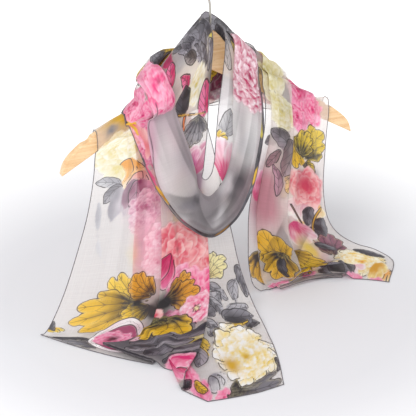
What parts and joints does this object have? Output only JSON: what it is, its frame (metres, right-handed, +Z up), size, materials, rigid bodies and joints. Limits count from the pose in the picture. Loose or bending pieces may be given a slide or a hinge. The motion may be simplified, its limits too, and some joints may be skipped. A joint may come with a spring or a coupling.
{
  "type": "chiffon scarf on a wooden hanger",
  "caption": "Sheer hemmed chiffon scarf with a flower print, wound in a loop round the neck of a flat wooden hanger, both ends hanging down to the surface below.",
  "frame": {"origin": "the underside of the hook's arc, where the hanger hangs on a rail", "axes": "+Z up, +X along the hanger to the right seen from the front, +Y to the back"},
  "size_m": [0.5704, 0.3158, 0.5077],
  "materials": {
    "chiffon": "sheer plain-woven chiffon with a soft sheen, printed with pink, ochre and slate flowers and leaves",
    "beech": "clear-lacquered light beech, satin",
    "plated_steel": "nickel-plated steel wire"
  },
  "bodies": {
    "root": {"hanger_board": "beech", "hanger_hook": "plated_steel", "scarf_left_end": "chiffon", "scarf_back_pass_inner": "chiffon", "scarf_loop_right": "chiffon", "scarf_loop_left": "chiffon", "scarf_back_pass_outer": "chiffon", "scarf_right_end": "chiffon"}
  },
  "joints": []
}
